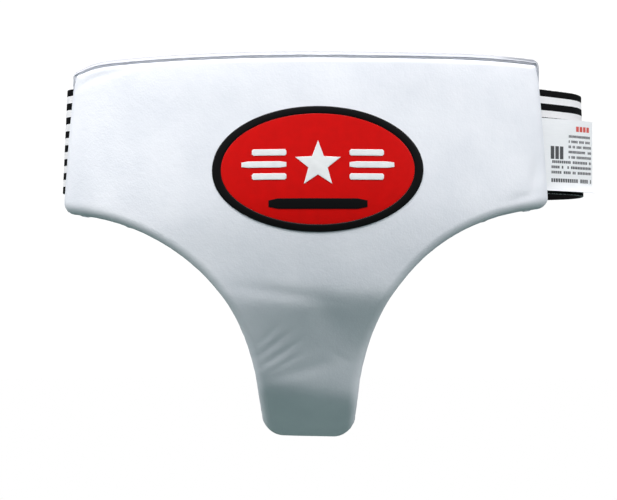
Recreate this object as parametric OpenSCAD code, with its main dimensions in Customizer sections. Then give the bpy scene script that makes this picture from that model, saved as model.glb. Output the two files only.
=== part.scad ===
// Groin protector: a padded front guard with a moulded cup behind it, a striped elastic waist
// belt that closes at the back with hook and loop tape, and an elastic strap under the crotch.
// Millimetres. +X is to the right as seen from the front, -Y is the front and +Z is up.
// The origin is the middle of the waist opening, halfway up the belt.

/* [Pad outline] */
// Half of the pad's width at the lower corners of its wings
wing_half = 175.5; // [172:0.5:177]
// Half of the pad's width at its top corners
top_half = 167; // [163:0.5:169]
// Height of the top edge above the middle of the belt
top_z = 58; // [54:1:61]
// Height of the lower corners of the wings
wing_low_z = -48; // [-51:1:-47]
// Height of the tip of the tongue
tip_z = -215; // [-217:1:-211]
// Half of the tongue's width near its tip
tip_half = 34; // [32:1:36]
// Radius of the wings' top corners
top_corner_r = 6; // [4:1:8]
// Radius of the wings' lower corners
low_corner_r = 9; // [7:1:10]
// Radius of the tongue's corners
tip_corner_r = 16; // [12:1:18]

/* [Pad shape] */
// How far the front of the pad stands ahead of the middle of the waist
front_reach = 95; // [94:1:96]
// Radius to which the pad is curved round the waist
waist_r = 255; // [250:1:262]

/* [Pad layers] */
// Thickness of the cover, the edge band and the lining
skin_t = 1.2; // [1:0.1:1.4]
// Thickness of the front foam
foam_t = 9; // [8.8:0.1:9]
// Thickness of the soft foam behind it
soft_foam_t = 4; // [3.8:0.1:4]
// How far the edge band stands out past the seams
band_bulge = 2.8; // [2.4:0.1:3]

/* [Cup] */
// Half of the cup's width
cup_half_w = 34; // [31:1:34]
// Half of the cup's height
cup_half_h = 50; // [46:1:50]
// Height of the middle of the cup
cup_z = -108; // [-110:1:-106]
// How far the cup's rim stands behind its crown
cup_depth = 22; // [19:1:22]
// Thickness of the cup's wall
cup_wall = 2.4; // [2:0.1:2.6]

/* [Badge] */
// Half of the badge's width
badge_half_w = 71; // [60:1:75]
// Half of the badge's height
badge_half_h = 42; // [36:1:44]
// How far the badge sits to the right of the middle
badge_x = 8; // [0:1:10]
// Height of the middle of the badge
badge_z = -22; // [-24:1:-18]
// Width of the badge's dark border
badge_border_w = 6; // [4:0.5:8]

/* [Belt and strap] */
// Width of the waist elastic
belt_h = 75; // [70:1:76]
// Thickness of the elastics
elastic_t = 1.8; // [1.4:0.1:1.8]
// How far the back of the belt stands behind the middle of the waist
rear_reach = 96; // [95:1:97]
// Width of the strap under the crotch
strap_w = 50; // [40:2:52]
// Height of the hook and loop tapes
tape_h = 50; // [40:2:54]
// Length of the loop tape
loop_len = 115; // [105:5:115]
// Length of the hook tape
hook_len = 58; // [40:2:58]

/* [Care label] */
// Length of the label from its seam
label_len = 66; // [50:2:68]
// Height of the label
label_h = 52; // [40:2:54]

/* [Hidden] */

layer_gap = 0.4; // between one layer of the pad and the next
clearance = 0.3; // between pieces on different bodies
belt_gap = 1.2; // between the lining and the elastics, which are flat where the lining bends

// Depths below the front of the cover, measured square to it
foam_d = skin_t + layer_gap;
soft_d = foam_d + foam_t + layer_gap;
lining_d = soft_d + soft_foam_t + layer_gap;
back_d = lining_d + skin_t;

// Insets from the pad's outermost line, which is the crown of the edge band
cover_inset = band_bulge - 0.6;
fill_inset = band_bulge + 1.4;

// Bends of the pad as it runs down to the tongue: [height, half width of the bend, change of slope]
bends = [[-52, 11, 0.21], [-108, 3.5, 0.35], [-148, 6, -0.16], [-178.5, 4.5, 0.95]];
top_lean = [40, 5, 0.06];

// ---------------------------------------------------------------- outline and front face

function arc(centre, r, from, to, steps) =
    [for (i = [0:steps]) let(a = from + (to - from) * i / steps) centre + r * [cos(a), sin(a)]];

function bezier(p, steps) =
    [for (i = [1:steps - 1]) let(t = i / steps, s = 1 - t)
        s ^ 3 * p[0] + 3 * s ^ 2 * t * p[1] + 3 * s * t ^ 2 * p[2] + t ^ 3 * p[3]];

// The sides slope outwards going down, by this angle from the vertical
side_slope = atan((wing_half - top_half) / (top_z - wing_low_z));
leg_start = [wing_half - low_corner_r + 1, wing_low_z];
leg_end = [tip_half + 3, tip_z + 45];

// The right half of the outline, from the top corner down to the tip, in X and Z
right_outline = concat(
    arc([top_half - top_corner_r, top_z - top_corner_r], top_corner_r, 90, -side_slope, 4),
    [for (z = [30, 10, -12]) [half_width(z), z]],
    arc([wing_half - low_corner_r, wing_low_z + low_corner_r], low_corner_r, -side_slope, -84, 5),
    bezier([leg_start, leg_start - [76.5, 8], leg_end + [10.5, 67], leg_end], 14),
    [leg_end],
    [for (z = [tip_z + 36, tip_z + 26]) [tip_half + 3 * (z - tip_z - tip_corner_r) / 29, z]],
    arc([tip_half - tip_corner_r, tip_z + tip_corner_r], tip_corner_r, 0, -90, 5)
);
outline = concat(
    right_outline,
    [[0, tip_z]],
    [for (i = [len(right_outline) - 1:-1:0]) [-right_outline[i].x, right_outline[i].y]],
    [for (i = [-7:7]) [i * (top_half - top_corner_r) / 8, top_z]]
);

// Half of the pad's width at a height on its straight sides
function half_width(z) = top_half + (top_z - top_corner_r - z) * tan(side_slope);

// The outward direction, square to a closed outline that runs clockwise
function out_at(line, i) =
    let(n = len(line), d = line[(i + 1) % n] - line[(i + n - 1) % n]) [-d.y, d.x] / norm(d);

function inset(line, by) = [for (i = [0:len(line) - 1]) line[i] - by * out_at(line, i)];

function softened(x) = ln(1 + exp(x));
function step_up(x) = 1 / (1 + exp(-x));
function total(v, i = 0) = i == len(v) ? 0 : v[i] + total(v, i + 1);

// How far the front has gone back at a height, and its slope there
function run_back(z) = total([for (b = bends) b[2] * b[1] * softened((b[0] - z) / b[1])])
    + top_lean[2] * top_lean[1] * softened((z - top_lean[0]) / top_lean[1]);
function slope(z) = top_lean[2] * step_up((z - top_lean[0]) / top_lean[1])
    - total([for (b = bends) b[2] * step_up((b[0] - z) / b[1])]);

// The point at depth d below the front of the cover, at x and z on its front
function inward(p) =
    let(v = [-p.x / sqrt(waist_r ^ 2 - p.x ^ 2), 1, -slope(p.y)]) v / norm(v);
function on_front(p) = [p.x, waist_r - sqrt(waist_r ^ 2 - p.x ^ 2) - front_reach + run_back(p.y), p.y];
function on_pad(p, d) = on_front(p) + d * inward(p);

// ---------------------------------------------------------------- solids built from rows and rings

function quad(a, b, c, d) = [[a, b, c], [a, c, d]];
function flat(list) = [for (part = list) for (item = part) item];

// A closed skin over sections that all have the same number of points; closed joins the last to the first
module sections(rows, closed = false) {
    n = len(rows[0]);
    m = len(rows);
    last = (m - 1) * n;
    ends = closed ? [] : flat([for (j = [0:n / 2 - 2]) concat(
        quad(n - 1 - j, n - 2 - j, j + 1, j),
        quad(last + j, last + j + 1, last + n - 2 - j, last + n - 1 - j))]);
    sides = flat([for (i = [0:m - (closed ? 1 : 2)]) for (j = [0:n - 1])
        let(k = (j + 1) % n, up = (i + 1) % m)
        quad(i * n + j, i * n + k, up * n + k, up * n + j)]);
    polyhedron(points = flat(rows), faces = concat(ends, sides), convexity = 10);
}

// One row across the pad, out along its front and back along its rear
function slab_row(half, z, d0, d1, columns) = concat(
    [for (j = [0:columns]) on_pad([-half * cos(180 * j / columns), z], d0)],
    [for (j = [columns:-1:0]) on_pad([-half * cos(180 * j / columns), z], d1)]
);

// A layer of the pad between two depths, within the outline inset by a distance.
// The rows of every layer are at the same heights, so that the layers bend alike.
module slab(by, d0, d1) {
    line = [for (i = [0:len(right_outline) - 1]) inset(outline, by)[i]];
    widths = [for (p = line) [p.y, p.x]];
    low = tip_z + by;
    high = top_z - by;
    between = [for (i = [0:len(line) - 1]) if (right_outline[i].y > low + 0.5 && right_outline[i].y < high - 0.5)
        right_outline[i].y];
    sections([for (z = concat([high], between, [low])) slab_row(lookup(z, widths), z, d0, d1, 16)]);
}

// A plate that lies on the pad's front, within an outline that all shows from its centre
module plate(line, centre, d0, d1, hole = 0, rings = 4) {
    shares = [for (k = [0:rings]) hole + (1 - hole) * k / rings];
    function ring(q, d) = [for (p = line) on_pad(centre + q * p, d)];
    loop = concat([for (q = shares) if (q > 0) ring(q, d0)], [for (k = [rings:-1:0]) if (shares[k] > 0) ring(shares[k], d1)]);
    if (hole > 0) sections([for (i = [len(loop) - 1:-1:0]) loop[i]], true);
    else capped(loop, on_pad(centre, d0), on_pad(centre, d1));
}

// The same, closed at both ends on a point
module capped(loop, first, last) {
    n = len(loop[0]);
    m = len(loop);
    fans = flat([for (j = [0:n - 1]) let(k = (j + 1) % n)
        [[m * n, j, k], [(m - 1) * n + j, m * n + 1, (m - 1) * n + k]]]);
    sides = flat([for (i = [0:m - 2]) for (j = [0:n - 1])
        let(k = (j + 1) % n) quad(i * n + j, (i + 1) * n + j, (i + 1) * n + k, i * n + k)]);
    polyhedron(points = concat(flat(loop), [first, last]), faces = concat(fans, sides), convexity = 10);
}

// ---------------------------------------------------------------- the pad

module front_cover() {
    color("whitesmoke") slab(cover_inset, 0, skin_t);
}

module outer_foam() {
    color("lightyellow") slab(fill_inset, foam_d, foam_d + foam_t);
}

module inner_foam() {
    color("lightblue") difference() {
        slab(fill_inset, soft_d, soft_d + soft_foam_t);
        cup_hole();
    }
}

module back_lining() {
    color("white") difference() {
        slab(fill_inset, lining_d, back_d);
        cup_hole();
    }
}

// The band that closes the pad's edge: a thin strip, bowed outwards, that runs all the way round
module edge_band() {
    front_d = skin_t + layer_gap;
    depth = back_d - front_d;
    function across(i, u, d) =
        let(out = out_at(outline, i)) on_pad(outline[i] + u * out, front_d + d);
    function bow(i, thick) = [for (k = [0:5]) let(a = 180 * k / 5)
        across(i, -band_bulge - thick + band_bulge * sin(a), depth * (1 - cos(a)) / 2)];
    function section(i) = concat(bow(i, 0), [for (k = [5:-1:0]) bow(i, skin_t)[k]]);
    color("white") sections([for (i = [0:len(outline) - 1]) section(i)], true);
}

// ---------------------------------------------------------------- the cup

cup_sides = 36;
crown_d = soft_d + 0.3;
rim_d = crown_d + cup_depth;

// The cup's rim is egg-shaped, wider at the top
function egg(a) = [cup_half_w * cos(a) * (1 + 0.28 * sin(a)), cup_half_h * sin(a)];
function egg_ring(q, d, fat = 0) = [for (i = [0:cup_sides - 1])
    let(a = 90 - 360 * i / cup_sides, p = egg(a))
    on_pad([0, cup_z] + q * p + fat * p / norm(p), d)];
function bowl_d(q) = crown_d + cup_depth * q ^ 2.6;
bowl_steps = [0.2, 0.4, 0.55, 0.7, 0.85, 1];

// What the cup's bowl passes through in the soft foam and the lining
module cup_hole() {
    reach = 0.66;
    translate([0, 60, cup_z]) rotate([90, 0, 0])
        linear_extrude(height = 200) polygon([for (i = [0:cup_sides - 1]) (reach + 0.06) * egg(360 * i / cup_sides)]);
}

module cup_shell() {
    outer = [for (q = bowl_steps) egg_ring(q, bowl_d(q))];
    inner = [for (k = [len(bowl_steps) - 1:-1:0]) let(q = bowl_steps[k])
        egg_ring(q, bowl_d(q) + cup_wall * (1 - 0.5 * q), -cup_wall * q ^ 3)];
    vent_r = 2.5;
    color("darkgray") difference() {
        capped(concat(outer, inner), on_pad([0, cup_z], crown_d), on_pad([0, cup_z], crown_d + cup_wall));
        for (row = [-1:1]) for (x = [-9, 9])
            translate([x, -front_reach, cup_z + 12 * row]) rotate([-90, 0, 0]) cylinder(r = vent_r, h = 60, $fn = 32);
    }
}

// A soft bead pushed over the rim of the cup
module cup_edge() {
    bead_r = 2.6;
    lift = rim_d + bead_r + cup_wall / 2 + layer_gap;
    loop = [for (k = [0:7]) let(a = 360 * k / 8) egg_ring(1, lift + bead_r * sin(a), bead_r * cos(a) - 0.6)];
    color("dimgray") sections([for (k = [7:-1:0]) loop[k]], true);
}

// The padded ring round the outside of the bowl, which slopes from the lining up to the rim
module cup_surround() {
    foot_d = back_d + 0.4;
    profile = [
        [0.86, 1, bowl_d(0.86) - 1.2], [1, 1.2, rim_d - 1.2], [1, 3.2, rim_d - 0.6], [1, 5.5, rim_d - 2],
        [1, 9, foot_d + 10], [1, 12.4, foot_d + 4], [1, 13, foot_d], [0.72, 1.4, foot_d],
    ];
    color("ghostwhite") sections([for (p = profile) egg_ring(p[0], p[2], p[1])], true);
}

// The fabric that lines the inside of the bowl
module cup_lining() {
    outer = [for (q = bowl_steps) egg_ring(q * 0.93, bowl_d(q) + cup_wall + 0.5, -cup_wall * q ^ 3)];
    inner = [for (k = [len(bowl_steps) - 1:-1:0]) let(q = bowl_steps[k])
        egg_ring(q * 0.93, bowl_d(q) + cup_wall + 1.4, -(cup_wall + 0.9) * q ^ 3)];
    color("white") capped(concat(outer, inner), on_pad([0, cup_z], crown_d + cup_wall + 0.5),
        on_pad([0, cup_z], crown_d + cup_wall + 1.4));
}

// ---------------------------------------------------------------- the badge

badge_centre = [badge_x, badge_z];
badge_d = -0.3;
print_t = 0.4;
marks_d = badge_d - print_t - 0.3;

function ellipse(a, b, steps) = [for (i = [0:steps - 1]) let(t = 90 - 360 * i / steps) [a * cos(t), b * sin(t)]];
function star(r, waist) = [for (i = [0:9]) let(t = 90 - 36 * i) (i % 2 == 0 ? r : r * waist) * [cos(t), sin(t)]];
function bar(w, h) = concat([for (i = [-3:3]) [i * w / 6, h / 2]], [for (i = [3:-1:-3]) [i * w / 6, -h / 2]]);

module badge_border() {
    line = ellipse(badge_half_w, badge_half_h, 56);
    color("black") plate(line, badge_centre, badge_d - print_t, badge_d, 1 - badge_border_w / badge_half_w, 1);
}

module badge_field() {
    line = ellipse(badge_half_w - badge_border_w - 0.2, badge_half_h - badge_border_w * badge_half_h / badge_half_w - 0.2, 40);
    color("firebrick") plate(line, badge_centre, badge_d - print_t, badge_d, 0, 6);
}

module badge_star() {
    color("white") plate(star(16, 0.42), badge_centre + [0, 3], marks_d - print_t, marks_d, 0, 2);
}

// Three bars on each side of the star, longer towards the middle row
module badge_bars() {
    for (side = [-1, 1]) for (row = [-1:1])
        color("white") plate(bar(30 - 7 * abs(row), 4.2), badge_centre + [side * (36 - 3.5 * abs(row)), 3 + 8 * row],
            marks_d - print_t, marks_d, 0, 2);
}

module badge_underline() {
    color("black") plate(bar(66, 7), badge_centre + [0, -23], marks_d - print_t, marks_d, 0, 3);
}

// ---------------------------------------------------------------- belt

// A route on the ground plan: each move is [length, turn in degrees, steps]
function route(p, heading, moves, i = 0) = i == len(moves) ? [p] :
    let(m = moves[i], r = m[1] == 0 ? 0 : m[0] / m[1] * 180 / PI)
    concat(
        [for (k = [0:m[2] - 1]) move_point(p, heading, m, r, k / m[2])],
        route(move_point(p, heading, m, r, 1), heading + m[1], moves, i + 1)
    );
function move_point(p, heading, m, r, t) = m[1] == 0 ? p + m[0] * t * [cos(heading), sin(heading)] :
    p + r * [sin(heading + m[1] * t) - sin(heading), cos(heading) - cos(heading + m[1] * t)];
function curve(r, turn) = r * abs(turn) * PI / 180;

// The elastics are sewn to the inside of the pad at its sides, and leave it along the same curve
belt_d = back_d + belt_gap + elastic_t / 2;
sewn_from = 140; // where the sewn end starts, measured out from the middle of the pad
sewn_to = wing_half + 0.4; // where the elastic leaves the pad
exit_angle = asin(sewn_to / waist_r);

// A line on the ground plan that follows the pad at a depth, on the side 1 or -1
function along_pad(side, from, to, d, steps = 4) =
    [for (i = [0:steps]) let(p = on_pad([side * (from + (to - from) * i / steps), 0], d)) [p.x, p.y]];

// A flat strip stood on edge, of a thickness, along a line on the ground plan
module band(line, z_low, z_high, thick) {
    last = len(line) - 1;
    function ahead(i) = let(d = line[min(i + 1, last)] - line[max(i - 1, 0)]) d / norm(d);
    function beside(i, u) = let(a = ahead(i)) line[i] + u * [-a.y, a.x];
    translate([0, 0, z_low]) linear_extrude(height = z_high - z_low)
        polygon(concat([for (i = [0:last]) beside(i, -thick / 2)], [for (i = [last:-1:0]) beside(i, thick / 2)]));
}

right_sewn = along_pad(1, sewn_from, sewn_to, belt_d);
right_start = right_sewn[len(right_sewn) - 1];
right_straight = 40;
right_turn = 180 - exit_angle;
right_bend_y = right_start.y + right_straight * sin(exit_angle);
right_bend_r = (rear_reach - right_bend_y) / (1 + cos(exit_angle));
right_bend_x = right_start.x + right_straight * cos(exit_angle) - right_bend_r * sin(exit_angle);
right_end_x = -72;

module right_belt() {
    line = route(right_start, exit_angle, [
        [right_straight, 0, 1],
        [curve(right_bend_r, right_turn), right_turn, 18],
        [right_bend_x - right_end_x, 0, 1],
    ]);
    inner = [for (i = [0:len(right_sewn) - 2]) right_sewn[i]];
    color("white") band(concat(inner, line), -belt_h / 2, belt_h / 2, elastic_t);
}

// A fold of thin tape that stops the end of the elastic fraying
module belt_end_hem() {
    color("white") translate([right_end_x - 1.4, rear_reach - elastic_t / 2, -belt_h / 2 + 1])
        cube([1.2, elastic_t, belt_h - 2]);
}

tape_t = 1.2;
loop_y = rear_reach + elastic_t / 2 + layer_gap;
hook_y = loop_y + tape_t + clearance / 2;
tab_y = hook_y + tape_t + layer_gap;
left_y = tab_y + elastic_t / 2;
joint_x = -64;

module loop_tape() {
    color("gainsboro") translate([right_end_x + 2, loop_y, -tape_h / 2]) cube([loop_len, tape_t, tape_h]);
}

// The left elastic is in two pieces: its sewn end, and the free part that swings from the seam
left_sewn = along_pad(-1, sewn_from, sewn_to, belt_d);
left_start = left_sewn[len(left_sewn) - 1];
left_heading = 180 - exit_angle;
left_straight = 7;
left_ease_r = 20;
left_bend_r = 55;
left_ease = 90 - left_heading;
left_eased = move_point(left_start + left_straight * [cos(left_heading), sin(left_heading)],
    left_heading, [1, left_ease], -left_ease_r, 1);

module left_belt_end() {
    color("white") band(left_sewn, -belt_h / 2, belt_h / 2, elastic_t);
}

module left_belt() {
    first = left_start + clearance * [cos(left_heading), sin(left_heading)];
    line = route(first, left_heading, [
        [left_straight - clearance, 0, 1],
        [curve(left_ease_r, left_ease), left_ease, 5],
        [left_y - left_bend_r - left_eased.y, 0, 1],
        [curve(left_bend_r, 90), -90, 14],
        [joint_x - clearance - left_eased.x - left_bend_r, 0, 1],
    ]);
    color("white") band(line, -belt_h / 2, belt_h / 2, elastic_t);
}

// Patches sewn over the ends of the elastics, on the inside of the pad
anchor_t = 1;
anchor_h = belt_h - 3;
anchor_d = belt_d + elastic_t / 2 + layer_gap;

module anchor(side) {
    color("whitesmoke") band(along_pad(side, sewn_from - 4, sewn_to - 7, anchor_d + anchor_t / 2, 3),
        -anchor_h / 2, anchor_h / 2, anchor_t);
}

module right_anchor() {
    anchor(1);
}

module left_anchor() {
    anchor(-1);
}

// ---------------------------------------------------------------- closure

cuff_len = 12;
cuff_y = tab_y + elastic_t + layer_gap;
tab_len = 74;
tab_h = belt_h - 7;

function rounded(w, h, r) = concat(
    [[0, h / 2], [0, -h / 2]],
    arc([w - r, -h / 2 + r], r, -90, 0, 6),
    arc([w - r, h / 2 - r], r, 0, 90, 6)
);

// Lays an outline drawn in X and Z on the back of the wearer, from y outwards
module upright(y, thick) {
    translate([0, y + thick, 0]) rotate([90, 0, 0]) linear_extrude(height = thick) children();
}

module closure_cuff() {
    color("white") translate([joint_x - cuff_len - 0.2, cuff_y, -belt_h / 2 + 1]) cube([cuff_len, 1, belt_h - 2]);
}

module closure_tab() {
    color("whitesmoke") upright(tab_y, elastic_t) translate([joint_x + clearance, 0]) polygon(rounded(tab_len, tab_h, 12));
}

// The folded strip bound over the rounded edge of the tab
module tab_binding() {
    gap = layer_gap;
    color("white") upright(tab_y, elastic_t) translate([joint_x + clearance, 0]) difference() {
        polygon(rounded(tab_len + gap + 1.4, tab_h + 2 * gap + 2.8, 13.5));
        polygon([for (p = rounded(tab_len + gap, tab_h + 2 * gap, 12.1)) [p.x == 0 ? -1 : p.x, p.y]]);
    }
}

module hook_tape() {
    color("gainsboro") translate([joint_x + 6, hook_y, -tape_h / 2]) cube([hook_len, tape_t, tape_h]);
}

// ---------------------------------------------------------------- strap under the crotch

strap_d = back_d + 1 + elastic_t / 2;
strap_top_z = 28;
strap_y = rear_reach - elastic_t - layer_gap;
tip_angle = -atan(1 / -slope(tip_z + 5));
strap_sewn = 26;
tip_back = on_pad([0, tip_z], strap_d);
rise = 68;
under_r = 18;
top_bend_r = 40;
strap_from = [tip_back.y, tip_back.z] - strap_sewn * [cos(tip_angle), sin(tip_angle)];
under_end = move_point([tip_back.y, tip_back.z] + 3 * [cos(tip_angle), sin(tip_angle)],
    tip_angle, [1, rise - tip_angle], under_r, 1);
strap_line = (strap_y - under_end.x - top_bend_r * (1 - sin(rise))) / cos(rise);
strap_bend_z = under_end.y + strap_line * sin(rise) + top_bend_r * cos(rise);
strap_route = route(strap_from, tip_angle, [
    [strap_sewn + 3, 0, 3],
    [curve(under_r, rise - tip_angle), rise - tip_angle, 12],
    [strap_line, 0, 5],
    [curve(top_bend_r, 90 - rise), 90 - rise, 4],
    [strap_top_z - strap_bend_z, 0, 2],
]);

// A strip swept along a route in Y and Z, of a width in X
module strip(line, width, thick) {
    function ahead(i) = let(d = line[min(i + 1, len(line) - 1)] - line[max(i - 1, 0)]) d / norm(d);
    function edge(i, x, u) = let(a = ahead(i), p = line[i] + u * [-a.y, a.x]) [x, p.x, p.y];
    sections([for (i = [0:len(line) - 1]) [
        edge(i, width / 2, thick / 2), edge(i, -width / 2, thick / 2),
        edge(i, -width / 2, -thick / 2), edge(i, width / 2, -thick / 2),
    ]]);
}

module rear_strap() {
    color("white") strip(strap_route, strap_w, elastic_t);
}

// The patch sewn over the end of the strap inside the tongue
patch_t = 1;
patch_len = 21;
patch_from = strap_from + 1.5 * [cos(tip_angle), sin(tip_angle)]
    + (elastic_t / 2 + patch_t / 2 + layer_gap) * [-sin(tip_angle), cos(tip_angle)];
module strap_patch() {
    color("whitesmoke") strip(route(patch_from, tip_angle, [[patch_len, 0, 1]]), strap_w - 4, patch_t);
}

// ---------------------------------------------------------------- stitching

thread = 0.5;
stitch = 3;
pitch = 4.2;

// A row of separate stitches along X, centred on 0, on a face that looks along +Y
module stitch_row(length) {
    count = floor(length / pitch);
    for (i = [0:count - 1])
        translate([(i - (count - 1) / 2) * pitch - stitch / 2, 0, -thread / 2]) cube([stitch, thread, thread]);
}

// Rows round the edge of a rectangle, in the plane of X and Z
module stitch_box(w, h) {
    for (s = [-1, 1]) translate([0, 0, s * h / 2]) stitch_row(w);
    for (s = [-1, 1]) translate([s * w / 2, 0, 0]) rotate([0, 90, 0]) stitch_row(h - 2 * pitch);
}

module loop_stitches() {
    color("silver") translate([right_end_x + 2 + loop_len / 2, loop_y + tape_t - 0.35, 0]) intersection() {
        stitch_box(loop_len - 5, tape_h - 5);
        translate([-loop_len / 2, 0.36, -tape_h / 2]) cube([loop_len, 0.1, tape_h]);
    }
}

module hook_stitches() {
    color("silver") translate([joint_x + 6 + hook_len / 2, tab_y + elastic_t + 0.02, 0])
        stitch_box(hook_len - 4, tape_h - 4);
}

module cuff_stitches() {
    color("silver") for (s = [-1, 1])
        translate([joint_x - 0.2 - cuff_len / 2 + s * (cuff_len / 2 - 2.5), cuff_y + 1.02, 0])
            rotate([0, 90, 0]) stitch_row(belt_h - 8);
}

// Two rows down each of the side patches
module anchor_stitches() {
    color("silver") for (side = [-1, 1]) for (x = [sewn_from - 1.5, sewn_to - 9.5]) {
        place = on_pad([side * x, 0], anchor_d + anchor_t + 0.1);
        translate(place) rotate([0, 0, asin(side * x / waist_r)]) rotate([0, 90, 0]) stitch_row(anchor_h - 4);
    }
}

// A box and a cross on the inside of the strap, where it is sewn to the belt
module strap_top_stitches() {
    box_w = strap_w - 8;
    box_h = 48;
    color("silver") translate([0, strap_y - elastic_t / 2 - 0.02 - thread, -2]) {
        stitch_box(box_w, box_h);
        for (s = [-1, 1]) difference() {
            rotate([0, s * atan(box_h / box_w), 0]) stitch_row(norm([box_w, box_h]) - 4 * pitch);
            if (s == 1) translate([0, thread / 2, 0]) cube([6, 2, 6], center = true);
        }
    }
}

module strap_patch_stitches() {
    middle = patch_from + patch_len / 2 * [cos(tip_angle), sin(tip_angle)]
        + (patch_t / 2 + 0.02) * [-sin(tip_angle), cos(tip_angle)];
    color("silver") translate([0, middle.x, middle.y]) rotate([90 + tip_angle, 0, 0])
        stitch_box(strap_w - 10, patch_len - 6);
}

// ---------------------------------------------------------------- care label

label_t = 0.4;
label_top_z = 20;

// A printed satin tag sewn into the right seam, lying over the elastic and lifting away from it
module care_label() {
    outwards = [sin(exit_angle), -cos(exit_angle)];
    start = right_start + [cos(exit_angle), sin(exit_angle)]
        + (elastic_t / 2 + clearance + label_t / 2) * outwards;
    line = route(start, exit_angle - 3, [[label_len * 0.45, 0, 2], [label_len * 0.55, 10, 5]]);
    color("snow") band(line, label_top_z - label_h, label_top_z, label_t);
}

front_cover();
edge_band();
outer_foam();
inner_foam();
back_lining();
cup_shell();
cup_edge();
cup_surround();
cup_lining();
badge_border();
badge_field();
badge_star();
badge_bars();
badge_underline();
right_belt();
belt_end_hem();
loop_tape();
loop_stitches();
right_anchor();
left_anchor();
anchor_stitches();
rear_strap();
strap_patch();
strap_patch_stitches();
strap_top_stitches();
left_belt_end();
left_belt();
closure_cuff();
cuff_stitches();
closure_tab();
hook_tape();
hook_stitches();
tab_binding();
care_label();
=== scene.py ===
import math

import bpy
import numpy as np
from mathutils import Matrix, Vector, noise


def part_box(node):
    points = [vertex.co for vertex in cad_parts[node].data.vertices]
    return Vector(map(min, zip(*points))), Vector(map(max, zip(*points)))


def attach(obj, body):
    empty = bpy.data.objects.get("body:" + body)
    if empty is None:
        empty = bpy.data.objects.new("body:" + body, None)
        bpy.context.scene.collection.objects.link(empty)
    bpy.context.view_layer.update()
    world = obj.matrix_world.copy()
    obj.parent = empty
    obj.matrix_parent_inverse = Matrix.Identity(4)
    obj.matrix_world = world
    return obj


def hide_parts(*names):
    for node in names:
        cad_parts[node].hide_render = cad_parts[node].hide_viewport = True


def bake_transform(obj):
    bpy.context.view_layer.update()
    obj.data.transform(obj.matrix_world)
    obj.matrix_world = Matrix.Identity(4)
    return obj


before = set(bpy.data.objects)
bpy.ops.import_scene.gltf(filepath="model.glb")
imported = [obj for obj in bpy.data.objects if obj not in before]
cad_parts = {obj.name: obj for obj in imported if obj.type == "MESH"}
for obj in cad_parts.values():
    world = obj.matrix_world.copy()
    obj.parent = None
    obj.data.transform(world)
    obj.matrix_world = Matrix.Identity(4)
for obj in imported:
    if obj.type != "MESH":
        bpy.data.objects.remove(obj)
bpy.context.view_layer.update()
mm = 0.001


# ---------------------------------------------------------------- floor, light and camera
# A white studio: one large soft light high in front of the object, a weak cool fill from below,
# and a pale floor well under the hanging object, so that its underside stays in shade.

def linear(hex_colour):
    """An sRGB hex colour as the linear red, green, blue and alpha that a shader takes."""
    channels = [int(hex_colour[i:i + 2], 16) / 255 for i in (1, 3, 5)]
    return [c / 12.92 if c <= 0.04045 else ((c + 0.055) / 1.055) ** 2.4 for c in channels] + [1.0]


def add(tree, kind, settings=None, **inputs):
    """Adds a node; an input is named with _ for a space, or in0, in1 by its place, and takes a value or a socket."""
    made = tree.nodes.new("ShaderNode" + kind)
    for name, value in (settings or {}).items():
        setattr(made, name, value)
    for name, value in inputs.items():
        place = int(name[2:]) if name[2:].isdigit() else name.replace("_", " ")
        if isinstance(value, bpy.types.NodeSocket):
            tree.links.new(value, made.inputs[place])
        else:
            made.inputs[place].default_value = value
    return made


world = bpy.data.worlds.new("studio")
world.use_nodes = True
bpy.context.scene.world = world
bpy.context.scene.view_settings.view_transform = "Standard"
tree = world.node_tree
tree.nodes.clear()
direction = add(tree, "TexCoord").outputs["Generated"]
height = add(tree, "SeparateXYZ", Vector=direction).outputs["Z"]
ramp = add(tree, "ValToRGB", Fac=add(tree, "MapRange", Value=height, From_Min=-1.0).outputs["Result"])
ramp.color_ramp.elements[0].color = linear("#567F79")
ramp.color_ramp.elements[1].color = linear("#E2E2EE")
fill = add(tree, "Background", Color=ramp.outputs["Color"], Strength=0.6)
white = add(tree, "Background", Color=(1, 1, 1, 1), Strength=1.05)
seen = add(tree, "LightPath").outputs["Is Camera Ray"]
shown = add(tree, "MixShader", in0=seen, in1=fill.outputs[0], in2=white.outputs[0])
add(tree, "OutputWorld", Surface=shown.outputs[0])

bpy.ops.object.select_all(action="DESELECT")
bpy.ops.mesh.primitive_circle_add(vertices=96, radius=6, fill_type="NGON", location=(0, 0, -0.62))
floor = bpy.context.object
floor.name = "floor"
paint = bpy.data.materials.new("matt_white_studio_floor")
paint.use_nodes = True
tree = paint.node_tree
tree.nodes.clear()
matt = add(tree, "BsdfDiffuse", Color=linear("#5E706C"))
lit = add(tree, "Emission", Color=(1, 1, 1, 1), Strength=1.0)
seen = add(tree, "LightPath").outputs["Is Camera Ray"]
shown = add(tree, "MixShader", in0=seen, in1=matt.outputs[0], in2=lit.outputs[0])
add(tree, "OutputMaterial", Surface=shown.outputs[0])
floor.data.materials.append(paint)

middle = Vector((0.0017, 0, -0.076))
for name, place, size, power in (
    ("key", (-0.15, -0.85, 1.15), (1.1, 0.6), 18.5),
    ("left", (-1.5, -0.5, 1.05), (0.8, 1.0), 19.5),
    ("right", (1.5, -0.5, 1.0), (0.8, 1.0), 18.5),
    ("rear", (0.3, 2.4, 0.9), (2.0, 1.4), 14),
):
    bpy.ops.object.light_add(type="AREA", location=place)
    lamp = bpy.context.object
    lamp.name = name
    lamp.data.shape = "RECTANGLE"
    lamp.data.size, lamp.data.size_y = size
    lamp.data.energy = power
    lamp.rotation_euler = (middle - lamp.location).to_track_quat("-Z", "Y").to_euler()

bpy.ops.object.camera_add(location=(middle.x, -1.195, middle.z), rotation=(math.pi / 2, 0, 0))
camera = bpy.context.object
camera.data.sensor_width = 36
camera.data.lens = 96.5
bpy.context.scene.camera = camera


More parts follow.
